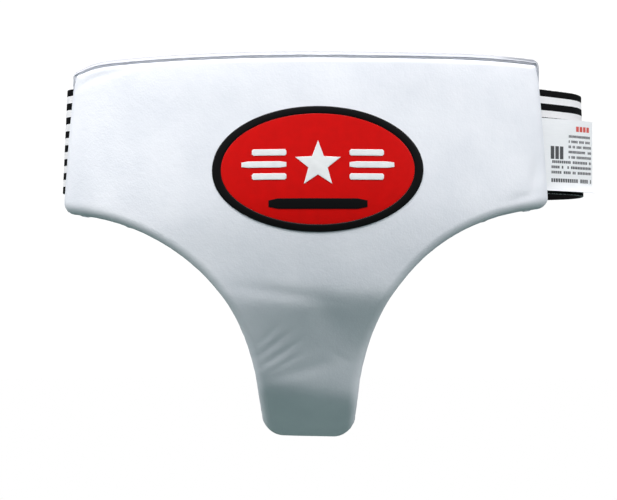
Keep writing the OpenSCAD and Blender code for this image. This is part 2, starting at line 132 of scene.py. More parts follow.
# ---------------------------------------------------------------- front cover
# The padded front is smooth white coated cloth drawn over foam. It is cut to one outline with two
# leg curves, bent round the waist, and dips into the seam along its edge.

front_y = -95 * mm
waist_r = 255 * mm
top_z, wing_low_z, tip_z = 58 * mm, -48 * mm, -215 * mm
top_half, wing_half, tip_half = 167 * mm, 175.5 * mm, 34 * mm
top_r, low_r, tip_r = 6 * mm, 9 * mm, 16 * mm
side_slope = math.atan((wing_half - top_half) / (top_z - wing_low_z))
bends = (
    (-52 * mm, 11 * mm, 0.21, 0, 0), (-108 * mm, 3.5 * mm, 0.35, 1 * mm, 0.3),
    (-148 * mm, 6 * mm, -0.16, 2 * mm, 0.9), (-178.5 * mm, 4.5 * mm, 0.95, -7 * mm, -0.1),
)
lean_z, lean_w, lean = 40 * mm, 5 * mm, 0.06


def arc(x, z, r, start, end, steps):
    turns = np.radians(np.linspace(start, end, steps))
    return np.column_stack([x + r * np.cos(turns), z + r * np.sin(turns)])


def half_outline():
    """The right half of the pad's outline, from the middle of its top to the middle of its tip."""
    t = np.linspace(0, 1, 90)[1:-1, None]
    start = np.array([wing_half - low_r + 1 * mm, wing_low_z])
    end = np.array([tip_half + 3 * mm, tip_z + 45 * mm])
    leg = ((1 - t) ** 3 * start + 3 * (1 - t) ** 2 * t * (start - (76.5 * mm, 8 * mm))
           + 3 * (1 - t) * t ** 2 * (end + (10.5 * mm, 67 * mm)) + t ** 3 * end)
    slope = math.degrees(side_slope)
    return np.vstack([
        [[0, top_z]],
        arc(top_half - top_r, top_z - top_r, top_r, 90, -slope, 16),
        arc(wing_half - low_r, wing_low_z + low_r, low_r, -slope, -84, 16),
        leg, [end],
        arc(tip_half - tip_r, tip_z + tip_r, tip_r, 0, -90, 20),
        [[0, tip_z]],
    ])


def even(line, step):
    """A line of points, spaced evenly along its length."""
    run = np.concatenate([[0], np.cumsum(np.linalg.norm(np.diff(line, axis=0), axis=1))])
    at = np.linspace(0, run[-1], int(run[-1] / step) + 1)
    return np.column_stack([np.interp(at, run, line[:, k]) for k in range(line.shape[1])])


def ahead(line, closed):
    """The unit direction along a line at each of its points."""
    if closed:
        way = np.roll(line, -1, axis=0) - np.roll(line, 1, axis=0)
    else:
        way = np.gradient(line, axis=0)
    return way / np.linalg.norm(way, axis=1)[:, None]


half_edge = even(half_outline(), 0.8 * mm)
edge = np.vstack([half_edge, (half_edge * (-1, 1))[-2:0:-1]])
edge_out = np.column_stack([-ahead(edge, True)[:, 1], ahead(edge, True)[:, 0]])


def softened(x):
    return np.logaddexp(0, x)


def front(x, z, stiff=False):
    """How far back the pad's front stands at x and z, and its slopes there. The folds lie a little aslant,
    but not under a stiff piece."""
    beside = np.clip(x / (42 * mm), -1, 1) * past(-z, 80 * mm, 8 * mm) * (not stiff)
    back = front_y + waist_r - np.sqrt(waist_r ** 2 - x ** 2)
    back = back + lean * lean_w * softened((z - lean_z) / lean_w)
    rise = lean / (1 + np.exp(-(z - lean_z) / lean_w))
    for at, width, change, tilt, skew in bends:
        at, change = at + tilt * beside, change * (1 + skew * beside)
        back = back + change * width * softened((at - z) / width)
        rise = rise - change / (1 + np.exp(-(at - z) / width))
    return back, x / np.sqrt(waist_r ** 2 - x ** 2), rise


def past(value, limit, width):
    """Goes smoothly from 0 to 1 as a value passes a limit."""
    return 1 / (1 + np.exp(-(value - limit) / width))


def on_pad(x, z, depth, stiff=False):
    """Places points on the pad, a depth below its front, as an array of positions.
    The soft pad hangs a little unevenly, so its left corner droops and its right end lifts; a stiff piece is even."""
    x, z, depth = np.broadcast_arrays(x, z, depth)
    back, across, rise = front(x, z, stiff)
    inward = np.stack([-across, np.ones_like(x), -rise], axis=-1)
    inward = inward / np.linalg.norm(inward, axis=-1)[..., None]
    sag = (-6 * mm * past(-x, 156 * mm, 5 * mm) * past(z, 30 * mm, 10 * mm)
           + 3.5 * mm * past(x, 95 * mm, 22 * mm) * past(z, 10 * mm, 15 * mm)
           - 4 * mm * past(-x, 70 * mm, 12 * mm) * past(-z, 17 * mm, 9 * mm)
           - (0.7 * mm + 0.087 * x ** 2) * past(z, 30 * mm, 10 * mm))
    shift = 1.6 * mm * past(-z, 97 * mm, 15 * mm)
    if stiff:
        sag, shift = 0, 0
    return np.stack([x + shift, back, z + sag], axis=-1) + depth[..., None] * inward


def from_edge(x, z):
    """How far inside the outline each point lies."""
    gap = np.full(x.shape, 1.0)
    for start in range(0, len(edge), 40):
        some = edge[start:start + 41]
        gap = np.minimum(gap, np.hypot(x[:, None] - some[:, 0], z[:, None] - some[:, 1]).min(axis=1))
    return gap


def rough(points, size, seed=0):
    """Smooth random heights from -1 to 1 at the points, with bumps of a size."""
    return np.array([noise.noise(Vector(p) / size + Vector((seed, 0, 0))) for p in points])


def start_piece(name, kind, **sizes):
    """Adds a primitive with nothing else selected, and returns it with the places of its vertices."""
    bpy.ops.object.select_all(action="DESELECT")
    getattr(bpy.ops.mesh, f"primitive_{kind}_add")(**sizes)
    piece = bpy.context.object
    piece.name = piece.data.name = name
    places = np.empty(len(piece.data.vertices) * 3)
    piece.data.vertices.foreach_get("co", places)
    return piece, places.reshape(-1, 3)


def set_places(piece, places):
    piece.data.vertices.foreach_set("co", np.ascontiguousarray(places, float).ravel())
    piece.data.update()


def in_edit(*steps):
    """Runs edit-mode operators on the whole of the active piece."""
    bpy.ops.object.mode_set(mode="EDIT")
    bpy.ops.mesh.select_all(action="SELECT")
    for step in steps:
        step()
    bpy.ops.object.mode_set(mode="OBJECT")


def note(piece, name, values):
    """Keeps a number for each vertex, which a material can read."""
    piece.data.attributes.new(name, "FLOAT", "POINT").data.foreach_set("value", np.float32(values))


def apply_modifier(piece, kind, **settings):
    made = piece.modifiers.new(kind.lower(), kind)
    for name, value in settings.items():
        setattr(made, name, value)
    bpy.ops.object.modifier_apply(modifier=made.name)


def end_piece(piece, material, slot, body, *nodes, angle=50):
    """Smooths a finished piece, gives it its material, hides the CAD nodes it stands for, and attaches it to its body,
    if it keeps to one.
    """
    bpy.ops.object.shade_smooth_by_angle(angle=math.radians(angle))
    piece.data.materials.clear()
    piece.data.materials.append(material)
    if nodes:
        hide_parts(*nodes)
    if body:
        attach(piece, body)


def panel_grid(name, columns, rows, inset):
    """A grid whose border follows the pad's outline, inset, with its places on the flat as x and z."""
    piece, places = start_piece(name, "grid", x_subdivisions=columns, y_subdivisions=rows, size=2)
    line = half_edge - (inset * np.ones(len(half_edge)))[:, None] * edge_out[:len(half_edge)]
    halfway = 1 - math.sqrt(0.5)
    cut_top = np.hypot(*(half_edge - (top_half - top_r * halfway, top_z - top_r * halfway)).T).argmin()
    cut_tip = np.hypot(*(half_edge - (tip_half - tip_r * halfway, tip_z + tip_r * halfway)).T).argmin()
    side = even(line[cut_top:cut_tip + 1], 0.2 * mm)
    v = (1 - places[:, 1]) / 2
    v = v - 0.9 * np.sin(math.tau * v) / math.tau
    at = v * (len(side) - 1)
    steps = np.arange(len(side))
    places[:, 0] = np.sin(math.pi / 2 * places[:, 0])  # closer together towards the edges, as the rows are
    x = places[:, 0] * np.interp(at, steps, side[:, 0])
    z = np.interp(at, steps, side[:, 1])
    top = line[:cut_top + 1]
    tip = line[cut_tip:][::-1]
    z = z + (1 - v) ** 16 * (np.interp(np.abs(places[:, 0] * side[0, 0]), top[:, 0], top[:, 1]) - side[0, 1])
    z = z + v ** 16 * (np.interp(np.abs(places[:, 0] * side[-1, 0]), tip[:, 0], tip[:, 1]) - side[-1, 1])
    return piece, x, z


def leather_grain(tree, size, strength, distance):
    """The bump of pressed grain: small closed cells with finer noise on them, over soft broad unevenness."""
    place = add(tree, "TexCoord").outputs["Object"]
    cells = add(tree, "TexVoronoi", {"feature": "SMOOTH_F1"}, Vector=place, Scale=1 / size)
    fine = add(tree, "TexNoise", Vector=place, Scale=2.4 / size, Detail=3.0)
    broad = add(tree, "TexNoise", Vector=place, Scale=0.28 / size, Detail=2.0)
    both = add(tree, "Math", {"operation": "MULTIPLY_ADD"}, in0=fine.outputs["Fac"], in1=0.6,
               in2=cells.outputs["Distance"])
    both = add(tree, "Math", {"operation": "MULTIPLY_ADD"}, in0=broad.outputs["Fac"], in1=2.0, in2=both.outputs[0])
    return add(tree, "Bump", Height=both.outputs[0], Strength=strength, Distance=distance).outputs[0]


# Polyurethane-coated cloth, pressed with a fine grain: bright, slightly cool white, with a soft sheen
# of light off its film and faint unevenness where it is drawn over the foam.
white_leather = bpy.data.materials.new("white_coated_leather")
white_leather.use_nodes = True
tree = white_leather.node_tree
tree.nodes.clear()
place = add(tree, "TexCoord").outputs["Object"]
clouds = add(tree, "TexNoise", Vector=place, Scale=28.0, Detail=4.0)
tone = add(tree, "ValToRGB", Fac=clouds.outputs["Fac"])
tone.color_ramp.elements[0].position = 0.35
tone.color_ramp.elements[0].color = linear("#EDEEF4")
tone.color_ramp.elements[1].position = 0.7
tone.color_ramp.elements[1].color = linear("#F6F6FB")
gloss = add(tree, "MapRange", Value=clouds.outputs["Fac"], From_Min=0.3, From_Max=0.7, To_Min=0.38, To_Max=0.5)
# painted shade: where the vertex attribute is set, the cloth is mixed towards grey #7C7F86, standing in for shade at
# the top seam, along the edge band's top contour and at its right top corner
painted_shade = add(tree, "Attribute", {"attribute_name": "painted_shade"}).outputs["Fac"]
tone = add(tree, "Mix", {"data_type": "RGBA"}, in0=painted_shade, in6=tone.outputs["Color"], in7=linear("#7C7F86")).outputs[2]
film = add(tree, "BsdfPrincipled", Base_Color=tone, Roughness=gloss.outputs["Result"],
           IOR=1.46, Normal=leather_grain(tree, 1.2 * mm, 0.6, 0.1 * mm))
add(tree, "OutputMaterial", Surface=film.outputs[0])

edge_r = 8.5 * mm


def seam_in(z):
    """How far the cover's seam lies inside the outline: on show along the top, rolled out of sight elsewhere."""
    return 0.6 * mm + 3.4 * mm * past(z, 46 * mm, 2.5 * mm)


cover, x, z = panel_grid("front_cover", 150, 260, seam_in(half_edge[:, 1]))
gap = from_edge(x, z)
at_top = past(z, 46 * mm, 2.5 * mm)
from_seam = np.clip(gap - seam_in(z), 0, None)
groove = 2.4 * mm * at_top * np.exp(-(from_seam / (1.1 * mm)) ** 2)
dip = edge_r - np.sqrt(edge_r ** 2 - np.clip(edge_r - gap, 0, None) ** 2) + groove
flat = np.column_stack([x, np.zeros_like(x), z])
waves = 0.22 * mm * rough(flat, 38 * mm) + 0.12 * mm * rough(flat, 13 * mm, 7) * np.exp(-gap / (16 * mm))
for cx, cz, lean_deg, long, wide, deep in (
    (-24, -141, 38, 13, 1.7, 0.42), (-20, -148, 34, 15, 1.8, 0.45), (-14, -153, 30, 12, 1.6, 0.35),
    (-27, -134, 42, 9, 1.5, 0.3), (22, -150, -28, 9, 1.8, 0.2), (160, -27, 84, 13, 4, 0.9), (150, -40, 15, 12, 3, 0.5),
    (-140, 47, 10, 22, 3, 0.4), (14, -122, -62, 17, 10, 0.9), (-14, -106, -8, 30, 5, 0.7), (-8, -160, 14, 26, 5, 0.5),
):
    turn = math.radians(lean_deg)
    along = (x - cx * mm) * math.cos(turn) + (z - cz * mm) * math.sin(turn)
    off = -(x - cx * mm) * math.sin(turn) + (z - cz * mm) * math.cos(turn)
    waves = waves + deep * mm * np.exp(-(along / (long * mm)) ** 2 - (off / (wide * mm)) ** 2)
set_places(cover, on_pad(x, z, dip + np.maximum(waves, -0.3 * mm) + 0.3 * mm))
note(cover, "painted_shade", 0.75 * at_top * np.exp(-(from_seam / (0.9 * mm)) ** 2))  # painted shade: the cloth is greyed at the top seam, standing in for the shadow the seam lies in
apply_modifier(cover, "SOLIDIFY", thickness=1.0 * mm, offset=-1)
end_piece(cover, white_leather, "white_leather", "guard", "front_cover")


# ---------------------------------------------------------------- edge band
# A strip of the same white cloth closes the edge of the pad. It is drawn tight round the foam, so it
# bows outwards between its two seams, and it puckers a little where it turns the corners.

def wrapped_grid(name, along, around):
    """A grid to be wrapped into a closed ring or tube: the piece, and each vertex's column and row."""
    piece, places = start_piece(name, "grid", x_subdivisions=along, y_subdivisions=around, size=2)
    column = np.rint((places[:, 0] + 1) / 2 * along).astype(int)
    row = np.rint((places[:, 1] + 1) / 2 * around).astype(int)
    return piece, column, row


def close_seams():
    in_edit(lambda: bpy.ops.mesh.remove_doubles(threshold=0.002 * mm),
            lambda: bpy.ops.mesh.normals_make_consistent(inside=False))


thick = 2 * edge_r
count = len(edge)
band, i, j = wrapped_grid("edge_band", count, 20)
i = i % count
# Across the band: an arc from one seam round to the other, then a lip tucked in behind each seam
at_top = past(edge[i, 1], 46 * mm, 2.5 * mm)
front_turn = np.arccos(1 - seam_in(edge[i, 1]) / edge_r)
back_turn = math.acos(1 - 2.9 * mm / edge_r)
across = np.interp(j % 20, [0, 14], [0, 1])
swing = front_turn * (1 - across) - back_turn * across
inset = edge_r * (1 - np.cos(swing))
depth = edge_r - edge_r * np.sin(swing)
tucked = j % 20 > 14
tuck = np.interp(j % 20, [15, 19], [0, 1])
inset = np.where(tucked, 4.1 * mm * (1 - tuck) + (seam_in(edge[i, 1]) + 1.2 * mm) * tuck, inset)
front_lip = edge_r - edge_r * np.sin(front_turn) + 2 * mm
depth = np.where(tucked, (thick - 3.6 * mm) * (1 - tuck) + front_lip * tuck, depth)
depth = depth + 3.4 * mm * at_top * np.exp(-(j / 0.55) ** 2)
proud = 0.9 * mm * at_top * np.exp(-((swing - front_turn * 0.55) / 0.3) ** 2)
inset, depth = inset - proud * ~tucked * 0.5, depth - proud * ~tucked
bend = np.abs(np.gradient(np.unwrap(np.arctan2(edge_out[:, 1], edge_out[:, 0])))) / (0.8 * mm)
bend = np.convolve(np.concatenate([bend[-20:], bend, bend[:20]]), np.ones(21) / 21, "same")[20:-20]
flat = np.column_stack([edge[i], np.abs(depth - thick / 2) / 3])
pucker = (0.12 + np.clip(bend[i] / 120, 0, 1) * 0.5) * mm * rough(flat, 4.5 * mm, 3)
x, z = (edge[i] - (inset + np.where(tucked, 0, pucker))[:, None] * edge_out[i]).T
set_places(band, on_pad(x, z, depth))
# painted shade: the band's top contour, where it turns away from the light, and its right top corner are greyed in
# colour
rim = 0.97 * np.exp(-((swing - 0.15) / 0.6) ** 2)
corner = 0.95 * past(x, 134 * mm, 5 * mm) * (swing < front_turn * 0.75)
note(band, "painted_shade", at_top * np.maximum(0.75 * np.exp(-(j / 0.9) ** 2), np.maximum(rim, corner)))  # painted shade: grey at the top seam, along the rounded top contour and at the right top corner, where shade falls
close_seams()
end_piece(band, white_leather, "white_leather", "guard", "edge_band", angle=80)


# ---------------------------------------------------------------- badge
# A glossy vinyl transfer welded to the cover: an oval black border round a red field, with a plain
# white star, three white bars on each side of it, and a black bar beneath.

def vinyl(name, hex_colour):
    """Screen-printed vinyl film: even colour under a smooth clear surface with a trace of the grain."""
    material = bpy.data.materials.new(name)
    material.use_nodes = True
    tree = material.node_tree
    tree.nodes.clear()
    place = add(tree, "TexCoord").outputs["Object"]
    clouds = add(tree, "TexNoise", Vector=place, Scale=160.0, Detail=3.0)
    shade = add(tree, "MapRange", Value=clouds.outputs["Fac"], To_Min=0.86, To_Max=1.08)
    tint = add(tree, "Mix", {"data_type": "RGBA", "blend_type": "MULTIPLY"}, in0=1.0, in6=linear(hex_colour),
               in7=shade.outputs["Result"])
    film = add(tree, "BsdfPrincipled", Base_Color=tint.outputs[2], Roughness=0.4, Specular_IOR_Level=0.22,
               Normal=leather_grain(tree, 1.1 * mm, 0.15, 0.04 * mm))
    add(tree, "OutputMaterial", Surface=film.outputs[0])
    return material


badge_black = vinyl("black_vinyl_print", "#070506")
badge_red = vinyl("red_vinyl_print", "#D60300")
badge_white = vinyl("white_vinyl_print", "#F2F2F2")
badge_x, badge_z = 8 * mm, -22 * mm
badge_w, badge_h, border_w = 71 * mm, 42 * mm, 6 * mm


def laid_on(name, reach, depth, thickness, centre, around=72, rings=24):
    """A thin film on the cover, out to a reach that depends on the direction, with a soft round rim."""
    piece, places = start_piece(name, "uv_sphere", segments=around, ring_count=rings, radius=1)
    share = np.hypot(places[:, 0], places[:, 1])
    turn = np.arctan2(places[:, 1], places[:, 0])
    far_x, far_z = reach(turn)
    face = np.sign(places[:, 2]) * np.abs(places[:, 2]) ** 0.35
    level = depth - face * thickness / 2
    set_places(piece, on_pad(centre[0] + share * far_x, centre[1] + share * far_z, level))
    in_edit(lambda: bpy.ops.mesh.normals_make_consistent(inside=False))
    return piece


def oval(w, h):
    return lambda turn: (w * np.cos(turn), h * np.sin(turn))


def star(r, waist):
    """A five-pointed star with its first point upwards."""
    def reach(turn):
        part = np.mod(turn - math.pi / 2, math.tau / 5) / (math.tau / 10)
        part = np.where(part > 1, 2 - part, part) * math.pi / 5
        inner = waist * r
        far = (r * inner * math.sin(math.pi / 5)
               / (r * np.sin(part) + inner * np.sin(math.pi / 5 - part)))
        return far * np.cos(turn), far * np.sin(turn)
    return reach


def bar(w, h):
    """A bar with square ends."""
    def reach(turn):
        far = 1 / np.maximum(np.abs(np.cos(turn)) / (w / 2), np.abs(np.sin(turn)) / (h / 2))
        return far * np.cos(turn), far * np.sin(turn)
    return reach


field = laid_on("badge_field", oval(badge_w - border_w, badge_h - 5 * mm), -0.05 * mm, 0.5 * mm,
                (badge_x, badge_z), 120, 48)
end_piece(field, badge_red, "badge_red", "guard", "badge_field")

border, i, j = wrapped_grid("badge_border", 180, 12)
turn, across = i % 180 / 180 * math.tau, j % 12 / 12 * math.tau
wide_x = badge_w - border_w / 2 + border_w / 2 * np.sign(np.cos(across)) * np.abs(np.cos(across)) ** 0.5
wide_z = badge_h - 2.5 * mm + 2.5 * mm * np.sign(np.cos(across)) * np.abs(np.cos(across)) ** 0.5
level = -0.15 * mm - 0.3 * mm * np.sin(across)
set_places(border, on_pad(badge_x + wide_x * np.cos(turn), badge_z + wide_z * np.sin(turn), level))
close_seams()
end_piece(border, badge_black, "badge_black", "guard", "badge_border")

mark = laid_on("badge_star", star(16 * mm, 0.42), -0.45 * mm, 0.4 * mm, (badge_x, badge_z + 3 * mm), 100, 24)
end_piece(mark, badge_white, "badge_white", "guard", "badge_star", angle=35)

for side in (-1, 1):
    for row in (-1, 0, 1):
        name = f"badge_bar_{'left' if side < 0 else 'right'}_{row + 2}"
        centre = (badge_x + side * (36 - 3.5 * abs(row)) * mm, badge_z + (3 + 8 * row) * mm)
        mark = laid_on(name, bar((30 - 7 * abs(row)) * mm, 4.2 * mm), -0.45 * mm, 0.4 * mm, centre, 64, 16)
        end_piece(mark, badge_white, "badge_white", "guard", "badge_bars", angle=35)

mark = laid_on("badge_underline", bar(66 * mm, 7 * mm), -0.45 * mm, 0.4 * mm, (badge_x, badge_z - 23 * mm), 96, 24)
end_piece(mark, badge_black, "badge_black", "guard", "badge_underline", angle=35)


# ---------------------------------------------------------------- waist elastic
# A 75 mm woven elastic, white with eight black stripes along it. It is sewn to the inside of the pad
# at both sides; the right half runs all the way across the back, and the left half ends at the closure.

belt_h, elastic_t = 75 * mm, 1.8 * mm
strip_low, strip_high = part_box("right_belt")
rear_y = strip_high.y - elastic_t / 2
belt_depth = 17.8 * mm + elastic_t / 2
leave_x = wing_half + 0.4 * mm
leave = math.asin(leave_x / waist_r)
right_end_x, joint_x = -72 * mm, -64 * mm
tab_low, tab_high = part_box("closure_tab")


def plan(x, depth):
    """The ground-plan place of a point on the pad, level with the middle of the belt."""
    return on_pad(np.float64(x), np.float64(0), np.float64(depth))[:2]


def route(start, heading, *moves):
    """A line on the ground plan: each move is a length and a turn, in metres and radians."""
    line = [np.array(start)]
    for length, turn in moves:
        steps = max(1, round(length / (1.5 * mm)))
        for _ in range(steps):
            heading = heading + turn / steps / 2
            line.append(line[-1] + length / steps * np.array([math.cos(heading), math.sin(heading)]))
            heading = heading + turn / steps / 2
    return np.array(line)


right_start = plan(leave_x, belt_depth)
straight = 40 * mm
bend_r = (rear_y - right_start[1] - straight * math.sin(leave)) / (1 + math.cos(leave))
bend_x = right_start[0] + straight * math.cos(leave) - bend_r * math.sin(leave)
right_line = np.vstack([
    [plan(x, belt_depth) for x in np.linspace(140 * mm, leave_x, 12)[:-1]],
    route(right_start, leave, (straight, 0), (bend_r * (math.pi - leave), math.pi - leave),
          (bend_x - right_end_x, 0)),
])
left_r, ease_r, left_straight = 55 * mm, 20 * mm, 7 * mm
left_y = (tab_low.y + tab_high.y) / 2
ease = math.pi / 2 - leave
eased = route(plan(-leave_x, belt_depth), math.pi - leave, (left_straight, 0), (ease_r * ease, -ease))
left_line = np.vstack([
    [plan(-x, belt_depth) for x in np.linspace(140 * mm, leave_x, 12)[:-1]],
    eased[:-1],
    route(eased[-1], math.pi / 2, (left_y - left_r - eased[-1][1], 0), (left_r * math.pi / 2, -math.pi / 2),
          (joint_x - eased[-1][0] - left_r, 0)),
])


def strip(name, line, low, high, rows, thickness, ripple=0.0, upright=True, shift=0.0, lean=0.0):
    """A strip along a line on the ground plan, or along one in Y and Z if not upright. Its UV map is in metres."""
    run = np.concatenate([[0], np.cumsum(np.linalg.norm(np.diff(line, axis=0), axis=1))])
    columns = max(2, round(run[-1] / (2 * mm)))
    piece, places = start_piece(name, "grid", x_subdivisions=columns, y_subdivisions=rows, size=2)
    at = (places[:, 0] + 1) / 2 * run[-1]
    width = low + (places[:, 1] + 1) / 2 * (high - low)
    way = ahead(line, False)
    lift = ripple * rough(np.column_stack([at / 3, width, width * 0]), 9 * mm, 11)
    first = np.interp(at, run, line[:, 0]) - lift * np.interp(at, run, way[:, 1])
    second = np.interp(at, run, line[:, 1]) + lift * np.interp(at, run, way[:, 0])
    set_places(piece, np.column_stack([first, second, width] if upright else [-width, first, second]))
    if lean:  # the pad's sloping side tilts the elastic near it, and lifts it a little
        places = np.array([v.co for v in piece.data.vertices])
        places[:, 0] -= lean * width * past(at, 52 * mm, 4 * mm) * past(-at, -110 * mm, 12 * mm)
        places[:, 2] += 2.2 * mm * past(-at, -110 * mm, 16 * mm)
        set_places(piece, places)
    scale_uv(piece, run[-1], high - low, shift)
    apply_modifier(piece, "SOLIDIFY", thickness=thickness, offset=0)
    apply_modifier(piece, "BEVEL", width=thickness * 0.3, segments=2, limit_method="ANGLE")
    return piece


def scale_uv(piece, length, width, shift=0.0):
    """Makes a grid's UV map its real size in metres."""
    uv = np.empty(len(piece.data.loops) * 2)
    piece.data.uv_layers[0].data.foreach_get("uv", uv)
    uv = uv.reshape(-1, 2) * (length, width) + (0, shift)
    piece.data.uv_layers[0].data.foreach_set("uv", uv.ravel())


# Woven elastic: matt textured yarn, knitted round rubber threads, so that fine ribs cross its width
# about 1.6 mm apart and the black stripes have slightly uneven, furry edges.
stripe, stripe_pitch = 5 * mm, 10 * mm
striped_elastic = bpy.data.materials.new("striped_woven_elastic")
striped_elastic.use_nodes = True
tree = striped_elastic.node_tree
tree.nodes.clear()
weave = add(tree, "SeparateXYZ", Vector=add(tree, "TexCoord").outputs["UV"])
wander = add(tree, "TexNoise", Vector=add(tree, "TexCoord").outputs["UV"], Scale=900.0, Detail=2.0)
off = add(tree, "MapRange", Value=wander.outputs["Fac"], To_Min=-0.35 * mm, To_Max=0.35 * mm).outputs["Result"]
across = add(tree, "Math", {"operation": "ADD"}, in0=weave.outputs["Y"], in1=off).outputs[0]
part = add(tree, "Math", {"operation": "WRAP"}, in0=across, in1=stripe_pitch, in2=0.0).outputs[0]
dark = add(tree, "Math", {"operation": "LESS_THAN"}, in0=part, in1=stripe).outputs[0]
ribs = add(tree, "Math", {"operation": "SINE"}, in0=add(
    tree, "Math", {"operation": "MULTIPLY"}, in0=weave.outputs["X"], in1=math.tau / (1.6 * mm)).outputs[0]).outputs[0]
picks = add(tree, "Math", {"operation": "SINE"}, in0=add(
    tree, "Math", {"operation": "MULTIPLY"}, in0=weave.outputs["Y"], in1=math.tau / (1.1 * mm)).outputs[0]).outputs[0]
knit = add(tree, "Math", {"operation": "MULTIPLY_ADD"}, in0=picks, in1=0.5, in2=ribs).outputs[0]
# painted shade: the yarn colour is darkened in the low parts of the ribs, following the bump height
shade = add(tree, "MapRange", Value=knit, From_Min=-1.5, From_Max=1.5, To_Min=0.86, To_Max=1.0).outputs["Result"]
yarn = add(tree, "Mix", {"data_type": "RGBA"}, in0=dark, in6=linear("#F6F4F5"), in7=linear("#070607")).outputs[2]
yarn = add(tree, "Mix", {"data_type": "RGBA", "blend_type": "MULTIPLY"}, in0=1.0, in6=yarn, in7=shade).outputs[2]
relief = add(tree, "Bump", Height=knit, Strength=0.5, Distance=0.12 * mm).outputs[0]
cloth = add(tree, "BsdfPrincipled", Base_Color=yarn, Roughness=0.9, Specular_IOR_Level=0.12, Normal=relief)
add(tree, "OutputMaterial", Surface=cloth.outputs[0])

belt = strip("right_belt", right_line, -belt_h / 2, belt_h / 2, 30, elastic_t, 0.25 * mm, lean=0.05)
end_piece(belt, striped_elastic, "striped_elastic", "guard", "right_belt")

# The left half bends at its seam, and the last part of its length is made as a separate piece
split = len(left_line) - 24
belt = strip("left_belt", left_line[:split + 1], -belt_h / 2, belt_h / 2, 30, elastic_t, lean=-0.05)
end_piece(belt, striped_elastic, "striped_elastic", None, "left_belt", "left_belt_end")
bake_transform(belt)
belt = strip("left_belt_tail", left_line[split:], -belt_h / 2, belt_h / 2, 30, elastic_t)
end_piece(belt, striped_elastic, "striped_elastic", None)
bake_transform(belt)


# ---------------------------------------------------------------- care label
# A white satin ribbon sewn into the right seam over the elastic. Its foot curls away from the belt,
# and its print is only plain dashes in rows under a red heading.

label_low, label_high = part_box("care_label")
label_len, label_h, label_top = 66 * mm, 52 * mm, label_high.z
outwards = np.array([math.sin(leave), -math.cos(leave)])
label_start = right_start + (1 * mm) * np.array([math.cos(leave), math.sin(leave)]) + (elastic_t / 2 + 0.5 * mm) * outwards
label_line = route(label_start, leave - math.radians(3), (label_len * 0.45, 0), (label_len * 0.55, math.radians(10)))
label, places = start_piece("care_label", "grid", x_subdivisions=66, y_subdivisions=52, size=2)
run = np.linspace(0, label_len, len(label_line))
at = (places[:, 0] + 1) / 2 * label_len
down = (1 - places[:, 1]) / 2 * label_h
way = ahead(label_line, False)
x, y = np.interp(at, run, label_line[:, 0]), np.interp(at, run, label_line[:, 1])
free = at / label_len
curl = np.clip((down - label_h + 9 * mm) / (9 * mm), 0, 1)
lift = (0.8 * mm * np.sin(at / (13 * mm)) * free + 3.2 * mm * curl ** 2 * free
        + 0.5 * mm * rough(np.column_stack([at, down, at * 0]), 16 * mm, 5) * free)
lift = np.maximum(lift, -0.15 * mm)
rise = -1 * mm - 0.8 * mm * curl ** 2 * free
set_places(label, np.column_stack([x + lift * outwards[0], y + lift * outwards[1], label_top - down + rise]))
scale_uv(label, label_len, label_h)
apply_modifier(label, "SOLIDIFY", thickness=0.3 * mm, offset=0)

# Printed satin: bright, smooth polyester with a soft sheen and fine slubs along its length
satin = bpy.data.materials.new("printed_satin_ribbon")
satin.use_nodes = True
tree = satin.node_tree
tree.nodes.clear()
uv_map = add(tree, "TexCoord").outputs["UV"]
sheet_at = add(tree, "SeparateXYZ", Vector=uv_map)
slubs = add(tree, "TexNoise", Vector=add(tree, "Mapping", Vector=uv_map, Scale=(60, 900, 1)).outputs[0], Scale=1.0)


def within(value, low, high):
    """1 where a value lies between two limits."""
    over = add(tree, "Math", {"operation": "GREATER_THAN"}, in0=value, in1=low).outputs[0]
    under = add(tree, "Math", {"operation": "LESS_THAN"}, in0=value, in1=high).outputs[0]
    return add(tree, "Math", {"operation": "MULTIPLY"}, in0=over, in1=under).outputs[0]


def both(*parts):
    made = parts[0]
    for part in parts[1:]:
        made = add(tree, "Math", {"operation": "MULTIPLY"}, in0=made, in1=part).outputs[0]
    return made


def dashes(wide, high, fill, left, right, low, top):
    """Rows of dashes with gaps here and there, within a part of the label given in millimetres."""
    cells = add(tree, "Mapping", Vector=uv_map, Scale=(1 / (wide * mm), 1 / (high * mm), 1)).outputs[0]
    odds = add(tree, "TexWhiteNoise", {"noise_dimensions": "2D"}, Vector=add(
        tree, "VectorMath", {"operation": "FLOOR"}, in0=cells).outputs[0]).outputs["Value"]
    spot = add(tree, "SeparateXYZ", Vector=add(tree, "VectorMath", {"operation": "FRACTION"}, in0=cells).outputs[0])
    return both(within(spot.outputs["X"], 0.08, 0.86), within(spot.outputs["Y"], 0.5 - fill / 2, 0.5 + fill / 2),
                within(odds, 0.14, 1.1), within(sheet_at.outputs["X"], left * mm, right * mm),
                within(sheet_at.outputs["Y"], low * mm, top * mm))


ink = dashes(1.6, 3.8, 0.5, 35, 64, 22.8, 41.8)
for mark in (dashes(2.1, 3.8, 0.52, 16, 64, 11.4, 22.8), dashes(2.6, 5, 0.55, 16, 64, 5, 10),
             dashes(5, 11, 0.85, 15, 30, 22, 33)):
    ink = add(tree, "Math", {"operation": "MAXIMUM"}, in0=ink, in1=mark).outputs[0]
ink = add(tree, "Math", {"operation": "MULTIPLY"}, in0=ink, in1=0.95).outputs[0]
heading = dashes(4.4, 4.8, 0.8, 44, 64, 43.2, 48)
paper = add(tree, "Mix", {"data_type": "RGBA"}, in0=slubs.outputs["Fac"], in6=linear("#F2F2F4"),
            in7=linear("#FBFBFC")).outputs[2]
print_ink = add(tree, "Mix", {"data_type": "RGBA"}, in0=ink, in6=paper, in7=linear("#1C1C22")).outputs[2]
print_ink = add(tree, "Mix", {"data_type": "RGBA"}, in0=heading, in6=print_ink, in7=linear("#D8483C")).outputs[2]
